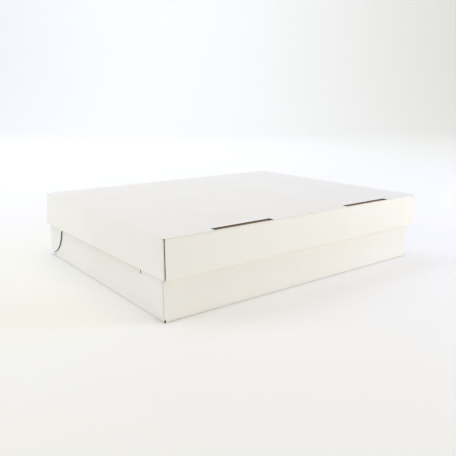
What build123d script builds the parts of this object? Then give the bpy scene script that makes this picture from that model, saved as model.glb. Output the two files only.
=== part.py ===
from build123d import *
import os

# ---------------------------------------------------------------------------
# Self-locking corrugated box with a hinged lid, folded from one blank.
# The blank's folded form is written as two solids that meet at the lid's fold:
#   tray - bottom, front and back walls with locking ears, two end walls
#   lid  - top panel, two end skirts with corner flaps, rolled-over front wall
#
# Frame: origin at the middle of the footprint, +Z up, +X along the long front,
# front wall facing -Y, lid fold along the top of the back wall (+Y).
# ---------------------------------------------------------------------------

# board
t = 1.5              # corrugated board, white outside and kraft inside
gap = 0.1            # air between layers that lie against each other
run = 0.3            # clearance between lid and tray
fold_r = 1.2         # outside radius of a folded edge
roll_r = 1.0         # outside radius of the lid's rolled lower edge

# overall size of the closed box
L = 400.0            # lid, left to right
W = 320.0            # lid front to back fold
H = 89.0             # top face above the floor

# lid
skirt_h = 42.5       # depth of the lid's skirts
spring = 2.5         # how far the free back end of a skirt stands out
front_inset = 1.5    # front panel's cut edge, in from the skirt's face
notch = 1.4          # corner notch, back from the front fold
corner_len = 2.0     # skirt's length that belongs to its vertical corner fold
skirt_back = 0.6     # skirt's free end, in front of the lid fold
flap_len = 48.0      # corner flap, tucked into the front wall
roll_w = 7.8         # depth of the rolled front wall, face to face
slot_x0, slot_x1 = 60.5, 140.3   # slots left and right of the middle
slot_y0, slot_y1 = 0.4, 8.3      # slot's edges, behind the front fold
tab_end = 2.5        # open slot left at each end of a tab
tab_sink = 0.3       # tab's cut edge below the top face

# tray
ear_len = 42.8       # corner to the ear's cut end
ear_foot = 3.4       # ear's lower edge above the floor at the corner
ear_top = 82.0
slit_hi = 74.0       # slits in the end walls
slit_f_lo, slit_f_w = 40.0, 5.6  # front slit: wide, so a gap shows beyond the ear
slit_b_lo, slit_b_w = 41.4, 2.4  # back slit: close to the board
tongue_lo, tongue_hi = 42.0, 70.0
hook_len = 14.0      # tongue behind the end wall

# ---- derived: lid ----------------------------------------------------------
z_under = H - t                      # underside of the top panel
z_low = H - skirt_h                  # lower edge of the lid
xs_out = L / 2                       # skirt, outer face at the top fold
xs_in = xs_out - t
yf = -W / 2                          # front panel, outer face
yb = W / 2                           # lid fold, outer face of the back wall
flap_y0 = yf + t + gap               # corner flap, outer face
flap_y1 = flap_y0 + t
in_y1 = yf + roll_w                  # inner front panel, inside face
in_y0 = in_y1 - t
x_inner = xs_in - 1.2                # half width of the inner front panel

# ---- derived: tray ---------------------------------------------------------
x_ear = xs_in - run                  # ear, outer face
x_earin = x_ear - t
x_end = x_earin - gap                # end wall, outer face
x_endin = x_end - t
y_fr = in_y1 + run                   # front wall, outer face
y_frin = y_fr + t
y_bkin = yb - t
z_rim = z_under - run                # top of the tray's walls
ear_f = y_fr + ear_len               # cut end of a front ear
ear_b = yb - ear_len                 # cut end of a back ear


def skirt_quad(side, out):
    # section of an end skirt, sprung out by `out` at its lower edge
    return [
        (side * (xs_in + out), z_low),
        (side * (xs_out + out), z_low),
        (side * xs_out, z_under),
        (side * xs_in, z_under),
    ]


# ===========================================================================
# LID
# ===========================================================================
with BuildPart() as lid:
    # top panel: its four edges are folds, round outside
    with BuildSketch(Plane.XY.offset(z_under)):
        Rectangle(L, W)
    extrude(amount=t)
    fillet(lid.faces().sort_by(Axis.Z)[-1].edges(), fold_r)

    # small notches where the front fold meets the end folds
    with BuildSketch(Plane.XY.offset(z_under - 1)):
        for side in (-1, 1):
            with Locations((side * (xs_out - front_inset / 2 + 1), yf + notch / 2 - 1)):
                Rectangle(front_inset + 2, notch + 2)
    extrude(amount=t + 2, mode=Mode.SUBTRACT)

    # vertical corner folds at the front end of each skirt
    for side in (-1, 1):
        with BuildSketch(Plane.XY.offset(z_low)) as s_fold:
            with Locations((side * (xs_out + xs_in) / 2, flap_y0 + corner_len / 2)):
                Rectangle(t, corner_len)
            fillet(
                s_fold.vertices().sort_by_distance((side * xs_out, flap_y0))[0],
                fold_r,
            )
        extrude(amount=z_under - z_low)

    # end skirts: held square at the front corner, sprung out at the free end
    for side in (-1, 1):
        with BuildSketch(Plane.XZ.offset(-(flap_y0 + corner_len))):
            with BuildLine():
                Polyline(*skirt_quad(side, 0.0), close=True)
            make_face()
        with BuildSketch(Plane.XZ.offset(-(yb - skirt_back))):
            with BuildLine():
                Polyline(*skirt_quad(side, spring), close=True)
            make_face()
        loft(ruled=True)

    # outer front panel, down from the front fold to the rolled edge
    with BuildSketch(Plane.YZ.offset(-(xs_out - front_inset))) as s_front:
        with Locations((yf + t / 2, (z_low + z_under) / 2)):
            Rectangle(t, z_under - z_low)
        fillet(s_front.vertices().sort_by_distance((yf, z_low))[0], roll_r)
    extrude(amount=2 * (xs_out - front_inset))

    # rolled-over lower edge and inner front panel
    with BuildSketch(Plane.YZ.offset(-x_inner)) as s_roll:
        with BuildLine():
            Polyline(
                (yf + t, z_low), (in_y1, z_low), (in_y1, z_under - gap),
                (in_y0, z_under - gap), (in_y0, z_low + t), (yf + t, z_low + t),
                close=True,
            )
        make_face()
        fillet(s_roll.vertices().sort_by_distance((in_y1, z_low))[0], roll_r)
    extrude(amount=2 * x_inner)

    # corner flaps of the skirts, between the two layers of the front wall
    for side in (-1, 1):
        with BuildSketch(Plane.XZ.offset(-flap_y0)):
            with BuildLine():
                Polyline(
                    (side * (xs_in + 0.4), z_low + t + gap),
                    (side * (xs_in + 0.4), z_under - gap),
                    (side * (xs_out - flap_len + 6), z_under - gap),
                    (side * (xs_out - flap_len), z_under - gap - 6),
                    (side * (xs_out - flap_len), z_low + t + gap + 9),
                    (side * (xs_out - flap_len + 9), z_low + t + gap),
                    close=True,
                )
            make_face()
        extrude(amount=-t)

    # two slots in the top panel, cut along the front fold
    with BuildSketch(Plane.XY.offset(H + 1)):
        with Locations(
            ((slot_x0 + slot_x1) / 2, yf + (slot_y0 + slot_y1) / 2),
            (-(slot_x0 + slot_x1) / 2, yf + (slot_y0 + slot_y1) / 2),
        ):
            Rectangle(slot_x1 - slot_x0, slot_y1 - slot_y0)
    extrude(amount=-(t + 1), mode=Mode.SUBTRACT)

    # tabs of the inner front panel, standing in the slots
    with BuildSketch(Plane.XZ.offset(-in_y0)):
        for side in (-1, 1):
            with BuildLine():
                Polyline(
                    (side * (slot_x0 + tab_end - 1.5), z_under - gap - 1),
                    (side * (slot_x0 + tab_end - 1.5), z_under - gap),
                    (side * (slot_x0 + tab_end), z_under + 0.6),
                    (side * (slot_x0 + tab_end), H - tab_sink),
                    (side * (slot_x1 - tab_end), H - tab_sink),
                    (side * (slot_x1 - tab_end), z_under + 0.6),
                    (side * (slot_x1 - tab_end + 1.5), z_under - gap),
                    (side * (slot_x1 - tab_end + 1.5), z_under - gap - 1),
                    close=True,
                )
            make_face()
    extrude(amount=-t)
lid.part.label = "lid"

# ===========================================================================
# TRAY
# ===========================================================================
# outline of an ear: its lower edge rises from the corner and rounds up into
# the cut end; s is measured along the end wall from the corner
ear_curve = [
    (0.0, ear_foot), (6.5, 4.9), (12.6, 7.0), (18.6, 9.7), (23.0, 12.3),
    (26.6, 15.0), (30.4, 18.5), (34.5, 23.4), (37.8, 28.6), (40.2, 33.4),
    (ear_len, tongue_lo),
]


def ear_xy(y_corner, sense):
    return [(y_corner + sense * s, z) for s, z in ear_curve]


with BuildPart() as tray:
    # bottom panel folded up into front and back walls
    with BuildSketch(Plane.YZ.offset(-(x_end - fold_r))) as s_tray:
        with BuildLine():
            Polyline(
                (y_fr, z_rim), (y_fr, 0), (yb, 0), (yb, z_rim),
                (y_bkin, z_rim), (y_bkin, t), (y_frin, t), (y_frin, z_rim),
                close=True,
            )
        make_face()
        fillet(s_tray.vertices().group_by(Axis.Y)[0], fold_r)
    extrude(amount=2 * (x_end - fold_r))

    # front and back walls out to the blank's corner folds
    with BuildSketch(Plane.XZ.offset(-y_fr)):
        with Locations((0, (fold_r + z_rim) / 2)):
            Rectangle(2 * x_end, z_rim - fold_r)
    extrude(amount=-t)
    with BuildSketch(Plane.XZ.offset(-y_bkin)):
        with Locations((0, (fold_r + z_rim) / 2)):
            Rectangle(2 * x_end, z_rim - fold_r)
    extrude(amount=-t)

    # end walls, folded up between them
    with BuildSketch(Plane.XZ.offset(-(y_frin + gap))) as s_end:
        with BuildLine():
            Polyline(
                (-x_end, z_rim), (-x_end, 0), (x_end, 0), (x_end, z_rim),
                (x_endin, z_rim), (x_endin, t), (-x_endin, t), (-x_endin, z_rim),
                close=True,
            )
        make_face()
        fillet(s_end.vertices().group_by(Axis.Y)[0], fold_r)
    extrude(amount=-(y_bkin - y_frin - 2 * gap))

    # vertical corner folds that carry the ears
    for side in (-1, 1):
        for y_out, y_in in ((y_fr, y_frin), (yb, y_bkin)):
            with BuildSketch(Plane.XY.offset(ear_foot)) as s_corner:
                with Locations((side * (x_end - 1 + x_ear) / 2, (y_out + y_in) / 2)):
                    Rectangle(x_ear - x_end + 1, t)
                fillet(
                    s_corner.vertices().sort_by_distance((side * x_ear, y_out))[0],
                    fold_r,
                )
            extrude(amount=ear_top - ear_foot)

    # ears outside the end walls: rounded below, square above
    for side in (-1, 1):
        for y_corner, sense in ((y_fr, 1), (yb, -1)):
            pts = ear_xy(y_corner, sense)
            start = (y_corner + sense * fold_r, ear_foot + 0.3)
            # the plane's normal is +X, so a sketch on the inner face of the
            # right ear grows outward, and on the left ear's outer face inward
            x_plane = x_earin if side > 0 else -x_ear
            with BuildSketch(Plane.YZ.offset(x_plane)):
                with BuildLine():
                    Spline(
                        start, *pts[1:],
                        tangents=((sense * 1.0, 0.24), (0.0, 1.0)),
                    )
                    Polyline(
                        pts[-1],
                        (y_corner + sense * ear_len, ear_top - 6),
                        (y_corner + sense * (ear_len - 6), ear_top - 2),
                        (y_corner + sense * fold_r, ear_top),
                        start,
                    )
                make_face()
            extrude(amount=t)

    # slits in the end walls, open below each tongue
    for y_corner, sense, slit_lo, slit_w in (
        (y_fr, 1, slit_f_lo, slit_f_w), (yb, -1, slit_b_lo, slit_b_w),
    ):
        yc = y_corner + sense * (ear_len - 0.3 + slit_w / 2)
        with BuildSketch(Plane.YZ.offset(-x_end - 0.1)):
            with Locations((yc, (slit_lo + slit_hi) / 2)):
                Rectangle(slit_w, slit_hi - slit_lo)
        extrude(amount=t + 0.2, mode=Mode.SUBTRACT)
        with BuildSketch(Plane.YZ.offset(x_endin - 0.1)):
            with Locations((yc, (slit_lo + slit_hi) / 2)):
                Rectangle(slit_w, slit_hi - slit_lo)
        extrude(amount=t + 0.2, mode=Mode.SUBTRACT)

    # tongues: from the end of each ear through the slit, then flat behind it
    x_hook = x_endin - gap               # hook, face towards the end wall
    for side in (-1, 1):
        for y_corner, sense in ((y_fr, 1), (yb, -1)):
            ya = y_corner + sense * ear_len
            yb2 = ya + sense * t
            yh = yb2 + sense * hook_len
            with BuildSketch(Plane.XY.offset(tongue_lo)):
                with BuildLine():
                    Polyline(
                        (side * x_ear, ya - sense * 0.5),
                        (side * (x_ear - 0.8), yb2),
                        (side * x_hook, yb2),
                        (side * x_hook, yh),
                        (side * (x_hook - t), yh),
                        (side * (x_hook - t), ya + sense * 0.8),
                        (side * (x_hook - t + 0.8), ya),
                        (side * x_earin, ya),
                        (side * x_earin, ya - sense * 0.5),
                        close=True,
                    )
                make_face()
            extrude(amount=tongue_hi - tongue_lo)
tray.part.label = "tray"

os.makedirs("parts", exist_ok=True)
export_step(lid.part, "parts/lid.step")
export_step(tray.part, "parts/tray.step")

for p in (lid.part, tray.part):
    bb = p.bounding_box()
    print(p.label, "solids", len(p.solids()), "volume", round(p.volume),
          "x", round(bb.min.X, 2), round(bb.max.X, 2),
          "y", round(bb.min.Y, 2), round(bb.max.Y, 2),
          "z", round(bb.min.Z, 2), round(bb.max.Z, 2))
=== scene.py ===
import math

import bmesh
import bpy
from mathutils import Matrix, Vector


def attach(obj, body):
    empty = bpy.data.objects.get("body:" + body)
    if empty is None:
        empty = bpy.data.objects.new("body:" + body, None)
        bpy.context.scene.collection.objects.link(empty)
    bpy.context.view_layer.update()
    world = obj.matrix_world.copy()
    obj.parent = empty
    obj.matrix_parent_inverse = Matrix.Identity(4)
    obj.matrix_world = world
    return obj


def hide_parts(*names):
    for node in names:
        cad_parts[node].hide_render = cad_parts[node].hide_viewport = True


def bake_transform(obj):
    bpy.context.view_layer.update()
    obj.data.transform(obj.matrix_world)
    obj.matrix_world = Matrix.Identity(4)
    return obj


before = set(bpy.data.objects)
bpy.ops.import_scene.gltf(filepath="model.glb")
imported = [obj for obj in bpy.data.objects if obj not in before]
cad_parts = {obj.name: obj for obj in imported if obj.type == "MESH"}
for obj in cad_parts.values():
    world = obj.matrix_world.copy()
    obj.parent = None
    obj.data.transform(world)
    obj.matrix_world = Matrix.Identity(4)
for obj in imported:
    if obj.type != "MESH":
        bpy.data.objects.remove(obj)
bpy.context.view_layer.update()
scene = bpy.context.scene

# ---------------------------------------------------------------------------
# Corrugated board box. Every length below is in millimetres in the row frame
# and becomes metres when a mesh is made.
#
# The board is built as it is made: a white outer liner, a brown inner liner and
# the fluted sheet between them. Each liner is one thin closed skin that runs on
# through the folds of its panels.
# ---------------------------------------------------------------------------
T = 1.5            # board
OUT = 0.22         # outer liner
INN = 0.20         # inner liner
FLU = 0.13         # fluted sheet
PITCH = 3.2        # flute to flute
CREASE_IN = T + 0.12   # fold radius that leaves the inner liner a sharp corner

L2, YF, YB, H = 200.0, -160.0, 160.0, 89.0      # lid
ZL = 46.5                                       # lid's lower edge
FP = 199.2                                      # half width, front panel
IP = 197.3                                      # half width, rolled part
Y_IN = -152.2                                   # rolled part's inside face
Y_FLAP = -158.4                                 # corner flap's outer face
FLAP_LO, FLAP_HI = 48.2, 87.4
SLOT = (60.5, 140.3)
SLOT_BACK = -151.7
TAB = (63.0, 137.8)
TAB_TOP = 88.7
SEAM_Y, SEAM_Z, SEAM_X = 152.0, 80.0, 196.6     # where the lid's fold piece begins
SKIRT_END = 159.4

TY, ZR = -151.9, 87.2                           # tray: front wall's face, rim
XE, XR = 196.6, 198.2                           # end wall's face, ear's face
YE0, YE1 = -150.3, 158.4                        # end wall, front and back
EAR = 42.8
EAR_LO, EAR_HI = 3.4, 82.0
SLIT_HI = 74.0
SLIT_F = (42.5, 48.1, 40.0)                     # front slit: near, far, foot
SLIT_B = (42.5, 44.9, 41.4)                     # back slit
TONGUE = (42.0, 70.0)
HOOK = 195.0                                    # tongue's end, behind the end wall
FRONT_FOLD_SHADE, FAINT_FOLD_SHADE = 1.0, 0.25              # how much painted shade lies along a fold line


def clamp(v, a=0.0, b=1.0):
    return max(a, min(b, v))


def lines(lo, hi, step, fixed):
    """Grid lines from lo to hi: the fixed ones, and others between them about a step apart."""
    fixed = sorted({round(f, 4) for f in fixed if lo - 1e-6 <= f <= hi + 1e-6} | {round(lo, 4), round(hi, 4)})
    got = [fixed[0]]
    for a, b in zip(fixed, fixed[1:]):
        n = max(1, round((b - a) / step))
        got += [a + (b - a) * i / n for i in range(1, n + 1)]
    return got


class Build:
    """Gathers closed shells into one mesh, with a material slot for each face."""

    def __init__(self):
        self.v, self.f, self.m, self.crease, self.flute = [], [], [], [], []

    def shell(self, pts, faces, slots):
        """pts: (outer place, inner place, crease: how much painted fold shade, flute); faces: index loops; slots:
        outer, inner, cut edge (the dark material that paints shade in the flutes).
        """
        n, base = len(pts), len(self.v)
        for p in pts:
            self.v.append(p[0])
        for p in pts:
            self.v.append(p[1])
        for _ in range(2):
            self.crease += [p[2] for p in pts]
            self.flute += [p[3] for p in pts]
        count = {}
        for f in faces:
            for i in range(len(f)):
                a, b = f[i], f[(i + 1) % len(f)]
                key = (min(a, b), max(a, b))
                count.setdefault(key, []).append((a, b))
            self.f.append([base + i for i in f])
            self.m.append(slots[0])
            self.f.append([base + n + i for i in reversed(f)])
            self.m.append(slots[1])
        for runs in count.values():
            if len(runs) == 1:
                a, b = runs[0]
                self.f.append([base + b, base + a, base + n + a, base + n + b])
                self.m.append(slots[2])

    def object(self, name, materials):
        me = bpy.data.meshes.new(name)
        me.from_pydata([(x * 0.001, y * 0.001, z * 0.001) for x, y, z in self.v], [], self.f)
        for mat in materials:
            me.materials.append(mat)
        me.polygons.foreach_set("material_index", self.m)
        # fold_shade holds how much painted shade each point carries along folds and creases
        for attr, values in (("fold_shade", self.crease), ("flute_mm", self.flute)):
            layer = me.attributes.new(attr, "FLOAT", "POINT")
            layer.data.foreach_set("value", values)
        bm = bmesh.new()
        bm.from_mesh(me)
        loose = [v for v in bm.verts if not v.link_faces]
        bmesh.ops.delete(bm, geom=loose, context="VERTS")
        bmesh.ops.recalc_face_normals(bm, faces=bm.faces)
        for e in bm.edges:
            if len(e.link_faces) == 2:
                a, b = e.link_faces
                e.smooth = a.material_index == b.material_index and e.calc_face_angle(0) < math.radians(40)
        for f in bm.faces:
            f.smooth = True
        bm.to_mesh(me)
        bm.free()
        ob = bpy.data.objects.new(name, me)
        scene.collection.objects.link(ob)
        return ob


class Skin:
    """One paper layer. Points with the same two places are the same point, so panels and folds join up."""

    def __init__(self, d0, d1, slots):
        self.d0, self.d1, self.slots = d0, d1, slots
        self.pts, self.index, self.faces = [], {}, []

    def point(self, place, crease, flute):
        a, b = place(self.d0), place(self.d1)
        key = tuple(round(c, 3) for c in (*a, *b))
        i = self.index.get(key)
        if i is None:
            i = self.index[key] = len(self.pts)
            self.pts.append((a, b, crease, flute))
        elif crease > self.pts[i][2]:
            self.pts[i] = (a, b, crease, self.pts[i][3])
        return i

    def grid(self, us, vs, at, keep=None):
        """at(u, v) gives (place(depth), crease, flute). keep(u, v) is asked at each cell's middle."""
        ids = {}

        def get(i, j):
            if (i, j) not in ids:
                ids[i, j] = self.point(*at(us[i], vs[j]))
            return ids[i, j]

        for i in range(len(us) - 1):
            for j in range(len(vs) - 1):
                if keep is None or keep((us[i] + us[i + 1]) / 2, (vs[j] + vs[j + 1]) / 2):
                    loop = [get(i, j), get(i + 1, j), get(i + 1, j + 1), get(i, j + 1)]
                    if len(set(loop)) == 4:
                        self.faces.append(loop)

    def close(self, build):
        build.shell(self.pts, self.faces, self.slots)


def fluted(build, fs, vs_at, place, keep=None, phase=0.0):
    """The fluted sheet of one panel. fs runs across the flutes, vs_at(f) gives the ends along them."""
    mid = OUT + (T - OUT - INN) / 2
    amp = (T - OUT - INN) / 2 - FLU / 2 - 0.03
    pts, faces = [], []
    cols = []
    for f in fs:
        d = mid + amp * math.sin(2 * math.pi * (f + phase) / PITCH)
        col = []
        for v in vs_at(f):
            col.append(len(pts))
            pts.append((place(f, v, d - FLU / 2), place(f, v, d + FLU / 2), 0.0, f))
        cols.append(col)
    for i in range(len(fs) - 1):
        a, b = cols[i], cols[i + 1]
        va, vb = vs_at(fs[i]), vs_at(fs[i + 1])
        for j in range(len(a) - 1):
            fm = (fs[i] + fs[i + 1]) / 2
            vm = (va[j] + va[j + 1] + vb[j] + vb[j + 1]) / 4
            if keep is None or keep(fm, vm):
                faces.append([a[j], b[j], b[j + 1], a[j + 1]])
    used = sorted({i for f in faces for i in f})
    new = {old: k for k, old in enumerate(used)}
    # the fluted sheet takes the darkened cut-edge material: painted shade inside the flutes
    build.shell([pts[i] for i in used], [[new[i] for i in f] for f in faces], (2, 2, 2))


def flute_lines(lo, hi, fixed=()):
    return lines(lo, hi, PITCH / 10, [lo, hi, *fixed])


# ---------------------------------------------------------------------------
# Lid
# ---------------------------------------------------------------------------
def spring(x, y, z):
    """The skirts stand out a little: most at the free back end, hardly at the front corner."""
    fz = clamp((87.5 - z) / 41.0)
    fy = clamp((y + 156.4) / 315.8)
    fs = clamp((fy - 0.12) / 0.75)
    side = 1 if x > 0 else -1
    return (x + side * fz * (2.2 * fs * fs * (3 - 2 * fs) + 0.27), y, z)


def flap_edges(x, top):
    ax = abs(x)
    lo = ZL + (FLAP_LO - ZL) * clamp((198.3 - ax) / 0.5)
    lo += clamp((161.0 - ax) / 9.0) * 9.0
    hi = top - clamp((158.0 - ax) / 6.0) * 6.0
    return lo, hi


def lid_layer(build, d0, d1, slots, rs, rf, rr, rv, inner):
    sk = Skin(d0, d1, slots)
    xt = L2 - rs                      # half width of the flat top panel
    y0 = YF + rf                      # front end of the flat top panel
    half_fold = min(FP, xt)
    ys_side = Y_FLAP + rv
    marks = [0, SLOT[0], SLOT[1], TAB[0], TAB[1], IP, xt, FP, SEAM_X]
    xs = lines(-FP, FP, 9.0, [s * m for m in marks for s in (-1, 1)])
    ys = lines(y0, SKIRT_END, 9.0, [SLOT_BACK, SEAM_Y, ys_side, *([] if inner else [Y_FLAP]), y0 + 1.4, SKIRT_END])

    # flat top panel
    def top_keep(x, y):
        if abs(x) > xt:
            return False
        if y > SEAM_Y and abs(x) < SEAM_X:
            return False
        return not (SLOT[0] < abs(x) < SLOT[1] and y < SLOT_BACK)

    def top_at(x, y):
        # mark: how much painted fold shade this point carries
        mark = FRONT_FOLD_SHADE if y < y0 + 0.1 else FAINT_FOLD_SHADE if abs(x) > xt - 0.1 else 0.0
        return (lambda d: (x, y, H - d)), mark, x

    sk.grid(xs, ys, top_at, top_keep)

    # front fold, front panel, rolled edge, web, roll, inner panel and tabs: one path
    path = []                         # (kind, value, place in (y, z) for a depth, crease)
    angles = [90, 112, 130, 148, 165, 180] if not inner else [90, 120, 150, 180]

    def arc(cy, cz, r, a):
        c, s = math.cos(math.radians(a)), math.sin(math.radians(a))
        return lambda d: (cy + (r - d) * c, cz + (r - d) * s)

    for a in angles:
        path.append(("fold", a, arc(YF + rf, H - rf, rf, a), FRONT_FOLD_SHADE))
    for z in lines(ZL + rr, H - rf, 8.0, [H - rf - 1.4, ZL + rr + 1.2])[::-1][1:-1]:
        path.append(("panel", z, (lambda z: lambda d: (YF + d, z))(z), 0.0))
    for a in (180, 200, 225, 250, 270):
        path.append(("roll", a, arc(YF + rr, ZL + rr, rr, a), FAINT_FOLD_SHADE))
    for y in ((YF + rr) * 0.5 + (Y_IN - rr) * 0.5,):
        path.append(("web", y, (lambda y: lambda d: (y, ZL + d))(y), 0.1))
    for a in (270, 290, 315, 340, 360):
        path.append(("roll2", a, arc(Y_IN - rr, ZL + rr, rr, a), FAINT_FOLD_SHADE))
    for z in lines(ZL + rr, FLAP_HI, 8.0, [ZL + rr + 1.2])[1:]:
        path.append(("inner", z, (lambda z: lambda d: (Y_IN - d, z))(z), 0.0))
    for z in (88.0, TAB_TOP):
        path.append(("tab", z, (lambda z: lambda d: (Y_IN - d, z))(z), 0.0))

    def strip_at(x, k):
        kind, _, yz, crease = path[int(k)]
        return (lambda d: (x, *yz(d))), crease, x

    def strip_keep(x, k):
        a, b = path[int(math.floor(k))], path[int(math.ceil(k))]
        ax = abs(x)
        kind = b[0]
        if kind == "fold":
            if ax > half_fold:
                return False
            return not (SLOT[0] < ax < SLOT[1] and (inner or b[1] <= 112))
        if kind == "panel" or (kind == "roll" and a[0] in ("panel", "roll")):
            return ax < FP if not (inner and kind == "roll") else ax < IP
        if kind == "tab":
            return TAB[0] < ax < TAB[1]
        return ax < IP

    sk.grid(xs, list(range(len(path))), strip_at, strip_keep)

    # end folds, skirts, their corner folds and flaps
    for side in (-1, 1):
        top_z = H - rs
        flap_top = FLAP_HI if not inner else top_z
        zs = lines(ZL, top_z, 8.0, [FLAP_LO, flap_top, top_z - 1.4])
        ya = [y for y in ys if y >= (ys_side if inner else Y_FLAP) - 1e-6]

        def fold_at(y, a, side=side):
            c, s = math.cos(math.radians(a)), math.sin(math.radians(a))
            f = side * (xt + rs * math.radians(90 - a))
            return (lambda d: (side * (xt + (rs - d) * c), y, H - rs + (rs - d) * s)), FAINT_FOLD_SHADE, f

        sk.grid(ya, [90, 67, 45, 22, 0], fold_at)

        def skirt_at(y, z, side=side):
            f = side * (xt + rs * 1.5708 + top_z - z)
            near = (z > top_z - 0.1) or (y < ys_side + 0.1 and z < flap_top + 0.1)
            return (lambda d: spring(side * (L2 - d), y, z)), FAINT_FOLD_SHADE * near, f

        sk.grid(ya, zs, skirt_at, (lambda y, z: not (y < ys_side and z < flap_top)) if not inner else None)

        rows = [z for z in zs if z <= flap_top + 1e-6]

        def corner_at(a, z, side=side):
            c, s = math.cos(math.radians(a)), math.sin(math.radians(a))
            f = side * (xt + rs * 1.5708 + top_z - z)
            return (
                lambda d: spring(side * (L2 - rv + (rv - d) * c), Y_FLAP + rv - (rv - d) * s, z)
            ), FAINT_FOLD_SHADE, f

        sk.grid([0, 22, 45, 67, 90], rows, corner_at)

        x_first = L2 - rv
        cols = sorted({x_first, 198.2, 197.7, 190, 180, 170, 161, 158, 155, 152}, reverse=True)
        cols = [c for c in cols if c <= x_first + 1e-6]

        def flap_at(c, z, side=side):
            lo, hi = flap_edges(c if c < x_first - 0.01 else 199.0, flap_top)
            zz = lo + (z - ZL) / (flap_top - ZL) * (hi - lo)
            f = side * (xt + rs * 1.5708 + top_z - zz)
            return (lambda d: spring(side * c, Y_FLAP + d, zz)), FAINT_FOLD_SHADE if c > x_first - 0.01 else 0.0, f

        sk.grid(cols, rows, flap_at)
    sk.close(build)


lid = Build()
lid_layer(lid, 0.0, OUT, (0, 2, 2), rs=L2 - FP, rf=1.0, rr=1.0, rv=1.2, inner=False)
lid_layer(lid, T - INN, T, (2, 1, 2), rs=CREASE_IN, rf=CREASE_IN, rr=CREASE_IN, rv=CREASE_IN, inner=True)

# flutes: front to back in the top panel, so upright in the front wall and level in the skirts
fluted(
    lid, flute_lines(-198.3, 198.3, [s * m for m in (*SLOT, SEAM_X, IP) for s in (-1, 1)]),
    lambda f: [-158.2, SLOT_BACK + 0.06, 157.6, 159.3],
    lambda f, v, d: (f, v, H - d),
    keep=lambda f, v: not (SLOT[0] < abs(f) < SLOT[1] and v < SLOT_BACK) and not (v > 157.6 and abs(f) < SEAM_X),
)
fluted(lid, flute_lines(-198.42, 198.42), lambda f: [47.9, 87.9], lambda f, v, d: (f, YF + d, v), phase=2.0)
fluted(
    lid, flute_lines(-197.2, 197.2, [s * m for m in TAB for s in (-1, 1)]),
    lambda f: [48.2, FLAP_HI - 0.06, TAB_TOP - 0.05], lambda f, v, d: (f, Y_IN - d, v),
    keep=lambda f, v: v < FLAP_HI - 0.06 or TAB[0] < abs(f) < TAB[1], phase=1.0,
)
for side in (-1, 1):
    fluted(
        lid, flute_lines(46.6, 87.2), lambda f: lines(-156.6, SKIRT_END - 0.05, 12.0, []),
        lambda f, v, d, side=side: spring(side * (L2 - d), v, f), phase=1.0,
    )

    def flap_end(f):
        if f < FLAP_LO + 9.0:
            return 161.0 - (f - FLAP_LO)
        return 152.0 + max(0.0, f - FLAP_HI + 6.0)

    fluted(
        lid, flute_lines(FLAP_LO + 0.1, FLAP_HI - 0.1), lambda f: [flap_end(f) + 0.06, 198.0],
        lambda f, v, d, side=side: spring(side * v, Y_FLAP + d, f), phase=1.0,
    )

# ---------------------------------------------------------------------------
# Tray
# ---------------------------------------------------------------------------
EAR_PTS = [
    (0.0, EAR_LO), (6.5, 4.9), (12.6, 7.0), (18.6, 9.7), (23.0, 12.3),
    (26.6, 15.0), (30.4, 18.5), (34.5, 23.4), (37.8, 28.6), (40.2, 33.4),
    (EAR, TONGUE[0]),
]


def smooth_curve(pts, n):
    """A Catmull-Rom line through the points."""
    ext = [tuple(2 * a - b for a, b in zip(pts[0], pts[1])), *pts, tuple(2 * a - b for a, b in zip(pts[-1], pts[-2]))]
    out = []
    for i in range(1, len(ext) - 2):
        p0, p1, p2, p3 = ext[i - 1:i + 3]
        for k in range(n):
            t = k / n
            out.append(tuple(
                0.5 * ((2 * b) + (-a + c) * t + (2 * a - 5 * b + 4 * c - d) * t * t + (-a + 3 * b - 3 * c + d) * t ** 3)
                for a, b, c, d in zip(p0, p1, p2, p3)
            ))
    return out + [pts[-1]]


EAR_LINE = smooth_curve(EAR_PTS, 4)


def ear_lo(s):
    for (a, za), (b, zb) in zip(EAR_LINE, EAR_LINE[1:]):
        if s <= b + 1e-9:
            return za + (zb - za) * clamp((s - a) / (b - a))
    return EAR_LINE[-1][1]


def ear_hi(s):
    if s < EAR - 6:
        return EAR_HI - 2.0 * s / (EAR - 6)
    return EAR_HI - 2.0 - 4.0 * (s - EAR + 6) / 6


TOP_E = EAR_HI - 6.0
ROW_TONGUE = EAR_LO + (TONGUE[1] - TONGUE[0]) / (TOP_E - TONGUE[0]) * (EAR_HI - EAR_LO)


def in_slit(y, z):
    front = TY + SLIT_F[0] < y < TY + SLIT_F[1] and z > SLIT_F[2]
    back = YB - SLIT_B[1] < y < YB - SLIT_B[0] and z > SLIT_B[2]
    return (front or back) and z < SLIT_HI


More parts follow.
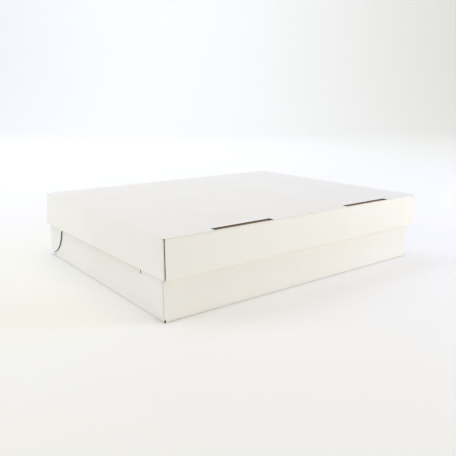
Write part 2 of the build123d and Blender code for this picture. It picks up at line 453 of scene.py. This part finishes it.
def tray_layer(build, d0, d1, slots, rs, rf, rv, rt, rc, inner):
    sk = Skin(d0, d1, slots)
    xb = XE - rs
    xw = XR - rv
    yf, yb = TY + rf, YB - rf
    e0, e1 = max(YE0, yf), min(YE1, yb)
    slit_y = [TY + SLIT_F[0], TY + SLIT_F[1], YB - SLIT_B[1], YB - SLIT_B[0]]
    xs = lines(-xw, xw, 9.0, [s * m for m in (0, xb, SEAM_X, xw) for s in (-1, 1)])
    ys = lines(yf, yb, 9.0, [e0, e1, yf + 1.4, yb - 1.4, *slit_y])

    path = []

    def arc(cy, cz, r, a):
        c, s = math.cos(math.radians(a)), math.sin(math.radians(a))
        return lambda d: (cy + (r - d) * c, cz + (r - d) * s)

    wall_z = lines(rf, ZR, 8.0, [EAR_LO, EAR_HI, ROW_TONGUE, SEAM_Z])
    for z in wall_z[::-1][:-1]:
        path.append(("front", z, (lambda z: lambda d: (TY + d, z))(z), 0.0))
    # the last value of each step is how much painted shade lies along the tray's folds
    for a in (180, 202, 225, 247, 270):
        path.append(("fold", a, arc(yf, rf, rf, a), 0.8))
    for y in ys[1:-1]:
        path.append(("bottom", y, (lambda y: lambda d: (y, d))(y), 0.0))
    for a in (270, 292, 315, 337, 360):
        path.append(("fold", a, arc(yb, rf, rf, a), 0.8))
    for z in wall_z[1:]:
        path.append(("back", z, (lambda z: lambda d: (YB - d, z))(z), 0.0))

    def at(x, k):
        kind, val, yz, crease = path[int(k)]
        # painted fold shade along the ears' corners and the bottom's edges
        if kind in ("front", "back") and abs(x) > xw - 0.1:
            crease = 0.8
        if kind == "bottom" and abs(x) > xb - 0.1:
            crease = 0.8
        return (lambda d: (x, *yz(d))), crease, x

    def keep(x, k):
        a, b = path[int(math.floor(k))], path[int(math.ceil(k))]
        ax = abs(x)
        if "front" in (a[0], b[0]) or "back" in (a[0], b[0]):
            za = a[1] if a[0] in ("front", "back") else rf
            zb = b[1] if b[0] in ("front", "back") else rf
            z = (za + zb) / 2
            back = "back" in (a[0], b[0])
            if ax < xb and ax < SEAM_X:
                return not (back and z > SEAM_Z)
            if ax < SEAM_X:
                return z > EAR_LO and not (back and z > SEAM_Z)
            return EAR_LO < z < EAR_HI
        return ax < xb

    sk.grid(xs, list(range(len(path))), at, keep)

    # end walls, folded up from the bottom
    ye = [y for y in ys if e0 - 1e-6 <= y <= e1 + 1e-6]
    zs = lines(rs, ZR, 8.0, [SLIT_F[2], SLIT_B[2], SLIT_HI, rs + 1.4])
    for side in (-1, 1):
        def fold_at(y, a, side=side):
            c, s = math.cos(math.radians(a)), math.sin(math.radians(a))
            return (lambda d: (side * (xb + (rs - d) * c), y, rs + (rs - d) * s)), (1.0 if -90 < a < 0 else 0.8), side * (xb + rs * math.radians(90 + a))

        sk.grid(ye, [-90, -67, -45, -22, 0], fold_at)

        def wall_at(y, z, side=side):
            return (lambda d: (side * (XE - d), y, z)), 0.8 if z < rs + 0.1 else 0.0, side * (xb + rs * 1.5708 + z - rs)

        sk.grid(ye, zs, wall_at, lambda y, z: not in_slit(y, z))

        # ears round the corners, and their tongues through the slits
        rows = [z for z in wall_z if EAR_LO - 1e-6 <= z <= EAR_HI + 1e-6]
        for yc, sn in ((TY, 1), (YB, -1)):
            def corner_at(a, z, side=side, yc=yc, sn=sn):
                c, s = math.cos(math.radians(a)), math.sin(math.radians(a))
                return (
                    lambda d: (side * (xw + (rv - d) * s), yc + sn * (rv - (rv - d) * c), z)
                ), (1.0 if 0 < a < 90 else 0.8), side * (xw + rv * math.radians(a))

            sk.grid([0, 22, 45, 67, 90], rows, corner_at)

            cols = [rv] + [s for s, _ in EAR_LINE if s > rv + 0.4]

            def ear_at(s, z, side=side, yc=yc, sn=sn):
                lo, hi = (EAR_LO, EAR_HI) if s < rv + 0.01 else (ear_lo(s), ear_hi(s))
                zz = lo + (z - EAR_LO) / (EAR_HI - EAR_LO) * (hi - lo)
                return (lambda d: (side * (XR - d), yc + sn * s, zz)), 0.8 if s < rv + 0.01 else 0.0, side * (XR + s)

            sk.grid(cols, rows, ear_at)

            steps = [lambda d: (XR - d, EAR)]
            for a in (0, 30, 60, 90):
                c, s = math.cos(math.radians(a)), math.sin(math.radians(a))
                steps.append((lambda c, s: lambda d: (XR - rt + (rt - d) * c, EAR + T - rt + (rt - d) * s))(c, s))
            for a in (0, 30, 60, 90):
                c, s = math.cos(math.radians(a)), math.sin(math.radians(a))
                steps.append((lambda c, s: lambda d: (HOOK + rc - (rc + d) * s, EAR + T + rc - (rc + d) * c))(c, s))
            for s in (EAR + T + 5, EAR + T + 10):
                steps.append((lambda s: lambda d: (HOOK - d, s))(s))
            steps.append(lambda d: (HOOK - d, EAR + T + 14))

            trows = [z for z in rows if z <= ROW_TONGUE + 1e-6]

            # the tongue's bends carry painted fold shade
            def tongue_at(k, z, side=side, yc=yc, sn=sn, steps=steps):
                zz = TONGUE[0] + (z - EAR_LO) / (EAR_HI - EAR_LO) * (TOP_E - TONGUE[0])
                if k >= len(steps) - 1.01:   # free corners cut back
                    zz = 56.0 + (zz - 56.0) * 0.82
                step = steps[int(k)]

                def place(d):
                    xx, s = step(d)
                    return (side * xx, yc + sn * s, zz)
                return place, 0.5 if 1 <= k <= 8 else 0.0, side * (XR + EAR + k)

            sk.grid(list(range(len(steps))), trows, tongue_at)
    sk.close(build)


tray = Build()
tray_layer(tray, 0.0, OUT, (0, 2, 2), rs=1.0, rf=1.2, rv=1.2, rt=0.8, rc=0.2, inner=False)
tray_layer(tray, T - INN, T, (2, 1, 2), rs=CREASE_IN, rf=CREASE_IN, rv=CREASE_IN, rt=T - 0.02, rc=-0.9, inner=True)

fluted(tray, flute_lines(-195.2, 195.2), lambda f: [-150.1, 158.2], lambda f, v, d: (f, v, d))
fluted(tray, flute_lines(-196.4, 196.4), lambda f: [3.5, ZR - 0.05], lambda f, v, d: (f, TY + d, v), phase=1.0)
fluted(tray, flute_lines(-196.4, 196.4), lambda f: [3.5, 86.6], lambda f, v, d: (f, YB - d, v), phase=3.0)
for side in (-1, 1):
    cuts = [TY + SLIT_F[0], TY + SLIT_F[1], YB - SLIT_B[1], YB - SLIT_B[0]]
    fluted(
        tray, flute_lines(1.8, ZR - 0.06, (SLIT_F[2], SLIT_B[2], SLIT_HI)), lambda f: [YE0 + 0.08, *cuts, YE1 - 0.08],
        lambda f, v, d, side=side: (side * (XE - d), v, f), keep=lambda f, v: not in_slit(v, f), phase=5.0,
    )
    for yc, sn in ((TY, 1), (YB, -1)):
        fluted(
            tray, flute_lines(1.7, EAR - 0.06), lambda f: [ear_lo(f) + 0.08, ear_hi(f) - 0.08],
            lambda f, v, d, side=side, yc=yc, sn=sn: (side * (XR - d), yc + sn * f, v), phase=0.5,
        )
        fluted(
            tray, flute_lines(EAR + T + 0.9, EAR + T + 9.9), lambda f: [TONGUE[0] + 0.08, TONGUE[1] - 0.08],
            lambda f, v, d, side=side, yc=yc, sn=sn: (side * (HOOK - d), yc + sn * f, v), phase=2.5,
        )

# ---------------------------------------------------------------------------
# The lid's fold: the last of the back wall, the crease and the first of the top panel
# ---------------------------------------------------------------------------
fold = Build()
R = 1.4
xs_fold = lines(-SEAM_X, SEAM_X, 9.0, [0])
outer = Skin(0.0, OUT, (0, 2, 2))
steps = []
for z in (SEAM_Z, 85.0, 87.0):
    steps.append(((lambda z: lambda d: (YB - d, z))(z), 0.0))
for a in (0, 15, 30, 45, 60, 75, 90):
    c, s = math.cos(math.radians(a)), math.sin(math.radians(a))
    # crease values 0.8 and 1.0: painted shade along the fold
    steps.append(((lambda c, s: lambda d: (YB - R + (R - d) * c, H - R + (R - d) * s))(c, s), 0.8 if a in (0, 90) else 1.0))
for y in (157.2, 155.0, SEAM_Y):
    steps.append(((lambda y: lambda d: (y, H - d))(y), 0.0))
outer.grid(xs_fold, list(range(len(steps))), lambda x, k: ((lambda d: (x, *steps[int(k)][0](d))), steps[int(k)][1], x))
outer.close(fold)

# inner liner: pressed in along the crease, so it opens as a shallow channel; the channel's points carry painted shade
core = [(158.7, SEAM_Z), (158.7, 86.3), (158.7, 87.12), (158.97, 87.42), (159.27, 88.27), (158.42, 87.97), (158.12, 87.7), (157.3, 87.7), (SEAM_Y, 87.7)]
room = [(158.5, SEAM_Z), (158.5, 86.4), (158.5, 87.2), (158.8, 87.5), (159.1, 88.1), (158.5, 87.8), (158.2, 87.5), (157.4, 87.5), (SEAM_Y, 87.5)]
pts, faces = [], []
for x in xs_fold:
    for i, (c, r) in enumerate(zip(core, room)):
        pts.append(((x, *c), (x, *r), 1.0 if 2 <= i <= 6 else 0.0, x))
n = len(core)
for i in range(len(xs_fold) - 1):
    for j in range(n - 1):
        faces.append([i * n + j, (i + 1) * n + j, (i + 1) * n + j + 1, i * n + j + 1])
fold.shell(pts, faces, (2, 1, 2))


# ---------------------------------------------------------------------------
# Materials
# ---------------------------------------------------------------------------
class Nodes:
    def __init__(self, name):
        self.mat = bpy.data.materials.new(name)
        self.mat.use_nodes = True
        self.t = self.mat.node_tree
        self.t.nodes.clear()
        self.out = self.n("ShaderNodeOutputMaterial")
        self.bsdf = self.n("ShaderNodeBsdfPrincipled")
        self.link(self.bsdf.outputs[0], self.out.inputs[0])
        self.co = self.n("ShaderNodeTexCoord").outputs["Object"]

    def n(self, kind, **props):
        node = self.t.nodes.new(kind)
        for k, v in props.items():
            setattr(node, k, v)
        return node

    def link(self, a, b):
        self.t.links.new(a, b)

    def set(self, sock, v):
        if hasattr(v, "is_output"):
            self.link(v, sock)
        else:
            sock.default_value = v

    def math(self, op, a, b=0.0, c=None, use_clamp=False):
        m = self.n("ShaderNodeMath", operation=op, use_clamp=use_clamp)
        self.set(m.inputs[0], a)
        self.set(m.inputs[1], b)
        if c is not None:
            self.set(m.inputs[2], c)
        return m.outputs[0]

    def mix(self, fac, a, b, blend="MIX"):
        m = self.n("ShaderNodeMix", data_type="RGBA", blend_type=blend)
        self.set(m.inputs[0], fac)
        self.set(m.inputs[6], a)
        self.set(m.inputs[7], b)
        return m.outputs[2]

    def scaled(self, scale):
        m = self.n("ShaderNodeMapping")
        m.inputs["Scale"].default_value = scale
        self.link(self.co, m.inputs["Vector"])
        return m.outputs[0]

    def noise(self, scale, detail=3.0, rough=0.55, vec=None, stretch=None):
        m = self.n("ShaderNodeTexNoise")
        m.inputs["Scale"].default_value = scale
        m.inputs["Detail"].default_value = detail
        m.inputs["Roughness"].default_value = rough
        v = self.scaled(stretch) if stretch else (vec or self.co)
        self.link(v, m.inputs["Vector"])
        return m.outputs[0]

    def ramp(self, v, lo, hi, a=0.0, b=1.0):
        m = self.n("ShaderNodeMapRange")
        m.inputs[1].default_value, m.inputs[2].default_value = lo, hi
        m.inputs[3].default_value, m.inputs[4].default_value = a, b
        self.link(v, m.inputs[0])
        return m.outputs[0]

    def attr(self, name):
        return self.n("ShaderNodeAttribute", attribute_name=name, attribute_type="GEOMETRY").outputs["Fac"]


def white_paper():
    m = Nodes("white_liner")
    crease = m.attr("fold_shade")
    flute = m.attr("flute_mm")
    cloud = m.noise(14.0, 4.0, 0.6)
    fleck = m.noise(420.0, 3.0, 0.7)
    fibre = m.noise(900.0, 2.0, 0.6, stretch=(1.0, 0.35, 1.0))
    tint = m.mix(m.ramp(cloud, 0.35, 0.68), (0.880, 0.872, 0.850, 1), (0.865, 0.856, 0.828, 1))
    tint = m.mix(m.ramp(fleck, 0.62, 0.80, 0.0, 0.5), tint, (0.800, 0.785, 0.745, 1))
    tint = m.mix(m.ramp(fibre, 0.30, 0.42, 0.30, 0.0), tint, (0.905, 0.900, 0.885, 1))
    # painted shade along the folds: the white face is darkened towards brown where the fold marks are set, broken up by
    # noise
    fold_shade_mask = m.math("MULTIPLY", crease, m.ramp(m.noise(60.0, 4.0, 0.7), 0.25, 0.75, 0.35, 1.0))
    tint = m.mix(m.math("MULTIPLY", fold_shade_mask, 0.36), tint, (0.60, 0.565, 0.50, 1))
    m.set(m.bsdf.inputs["Base Color"], tint)
    m.set(m.bsdf.inputs["Roughness"], m.ramp(cloud, 0.3, 0.7, 0.52, 0.62))
    m.bsdf.inputs["Specular IOR Level"].default_value = 0.35
    # paper grain, and the flutes showing faintly through the liner
    wave = m.math("SINE", m.math("MULTIPLY", flute, 2 * math.pi / PITCH))
    grain = m.math("MULTIPLY", m.noise(1600.0, 3.0, 0.65), 0.00006)
    board = m.math("MULTIPLY", wave, 0.000011)
    sag = m.math("MULTIPLY", m.noise(22.0, 2.0, 0.5), 0.00025)
    bump = m.n("ShaderNodeBump")
    bump.inputs["Distance"].default_value = 1.0
    bump.inputs["Strength"].default_value = 0.8
    m.link(m.math("ADD", m.math("ADD", grain, board), sag), bump.inputs["Height"])
    m.link(bump.outputs[0], m.bsdf.inputs["Normal"])
    return m.mat


def kraft(name, light, dark, streak):
    m = Nodes(name)
    cloud = m.noise(30.0, 4.0, 0.6)
    fibre = m.noise(500.0, 4.0, 0.75, stretch=streak)
    fleck = m.noise(1300.0, 2.0, 0.6)
    tint = m.mix(m.ramp(fibre, 0.32, 0.70), (*light, 1), (*dark, 1))
    tint = m.mix(m.ramp(cloud, 0.35, 0.7, 0.0, 0.35), tint, (*[c * 0.88 for c in light], 1))
    tint = m.mix(m.ramp(fleck, 0.68, 0.80, 0.0, 0.55), tint, (*[c * 0.6 for c in dark], 1))
    # painted shade in the creases: the kraft is darkened along the fold marks
    crease = m.attr("fold_shade")
    tint = m.mix(m.math("MULTIPLY", crease, 0.35), tint, (*[c * 0.6 for c in dark], 1))
    m.set(m.bsdf.inputs["Base Color"], tint)
    m.bsdf.inputs["Roughness"].default_value = 0.82
    m.bsdf.inputs["Specular IOR Level"].default_value = 0.2
    wave = m.math("SINE", m.math("MULTIPLY", m.attr("flute_mm"), 2 * math.pi / PITCH))
    bump = m.n("ShaderNodeBump")
    bump.inputs["Distance"].default_value = 1.0
    bump.inputs["Strength"].default_value = 0.8
    m.link(
        m.math("ADD", m.math("MULTIPLY", fibre, 0.00008), m.math("MULTIPLY", wave, 0.00002)),
        bump.inputs["Height"],
    )
    m.link(bump.outputs[0], m.bsdf.inputs["Normal"])
    return m.mat


white = white_paper()
liner = kraft("kraft_liner", (0.46, 0.335, 0.205), (0.37, 0.26, 0.15), (1.0, 0.25, 1.0))
# cut edges and fluted sheet: kraft brown, darkened to paint the shade inside the flutes and in the gaps behind the cut
# edges
shaded_cut_edge = kraft("cut_edge_painted_shade", (0.125, 0.100, 0.070), (0.080, 0.064, 0.045), (1.0, 1.0, 1.0))

lid_board = lid.object("lid_board", [white, liner, shaded_cut_edge])
tray_board = tray.object("tray_board", [white, liner, shaded_cut_edge])
lid_fold = fold.object("lid_fold", [white, liner, shaded_cut_edge])

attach(lid_board, "lid")
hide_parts("lid")
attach(tray_board, "tray")
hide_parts("tray")
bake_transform(lid_fold)

# ---------------------------------------------------------------------------
# Floor, light, camera
# ---------------------------------------------------------------------------
def sweep():
    """A pale floor that curves up behind into a backdrop."""
    prof = [(-6.0, 0.0), (2.6, 0.0)]
    prof += [(2.6 + 1.6 * math.sin(math.radians(a)), 1.6 - 1.6 * math.cos(math.radians(a))) for a in range(6, 91, 6)]
    prof += [(4.2, 6.0)]
    yaw = math.radians(37.27)
    fwd, right = Vector((math.sin(yaw), math.cos(yaw), 0)), Vector((math.cos(yaw), -math.sin(yaw), 0))
    vs, fs = [], []
    for w in (-7.0, 7.0):
        for a, z in prof:
            p = fwd * a + right * w
            vs.append((p.x, p.y, z - 0.0001))
    n = len(prof)
    for i in range(n - 1):
        fs.append((i, i + 1, n + i + 1, n + i))
    me = bpy.data.meshes.new("sweep")
    me.from_pydata(vs, [], fs)
    for p in me.polygons:
        p.use_smooth = True
    ob = bpy.data.objects.new("sweep", me)
    scene.collection.objects.link(ob)
    m = Nodes("sweep_paper")
    m.bsdf.inputs["Base Color"].default_value = (0.94, 0.94, 0.935, 1)
    m.bsdf.inputs["Roughness"].default_value = 0.75
    m.bsdf.inputs["Specular IOR Level"].default_value = 0.2
    me.materials.append(m.mat)


sweep()

world = bpy.data.worlds.new("studio")
scene.world = world
world.use_nodes = True
world.node_tree.nodes["Background"].inputs[0].default_value = (1.0, 0.943, 0.812, 1)
world.node_tree.nodes["Background"].inputs[1].default_value = 0.542


def area(name, loc, target, size, power, color=(1, 1, 1)):
    d = bpy.data.lights.new(name, "AREA")
    d.shape = "RECTANGLE"
    d.size, d.size_y = size
    d.energy = power
    d.color = color
    ob = bpy.data.objects.new(name, d)
    ob.location = loc
    ob.rotation_mode = "QUATERNION"
    ob.rotation_quaternion = (Vector(target) - Vector(loc)).to_track_quat("-Z", "Y")
    scene.collection.objects.link(ob)
    return ob


area("back_softbox", (0.8, 1.0, 2.6), (2.3, 3.0, 0.8), (2.5, 1.0), 28.0, (0.86, 1.0, 1.01))
area("backdrop_light", (-1.0, 1.6, 2.6), (0.6, 3.6, 0.8), (2.5, 1.0), 31.0, (0.96, 1.0, 1.56))
area("top_softbox", (0.0, -0.7, 2.2), (0.0, 0.0, 0.0), (2.0, 1.2), 10.1, (1.0, 1.0, 0.66))
area("left_strip", (-1.2, 0.5, 0.6), (-0.1, 0.0, 0.05), (0.7, 0.7), 4.67, (0.93, 1.0, 1.05))
area("right_strip", (1.0, -1.0, 0.25), (0.1, -0.1, 0.05), (0.8, 0.4), 6.0, (1.07, 1.0, 0.475))
area("right_softbox", (1.05, -0.75, 0.6), (0.2, -0.1, 0.05), (0.7, 0.7), 1.14, (0.5, 1.0, 5.55))

cam = bpy.data.cameras.new("camera")
cam.sensor_width = 36.0
cam.lens = 36.0 * 540.16 / 456.0
cam.clip_start, cam.clip_end = 0.01, 50
camera = bpy.data.objects.new("camera", cam)
camera.location = (-0.45066, -0.58797, 0.21795)
yaw, pitch = math.radians(37.342), math.radians(13.486)
look = Vector((math.sin(yaw) * math.cos(pitch), math.cos(yaw) * math.cos(pitch), -math.sin(pitch)))
camera.rotation_mode = "QUATERNION"
camera.rotation_quaternion = look.to_track_quat("-Z", "Y")
scene.collection.objects.link(camera)
scene.camera = camera

scene.view_settings.view_transform = "Standard"
scene.view_settings.look = "None"
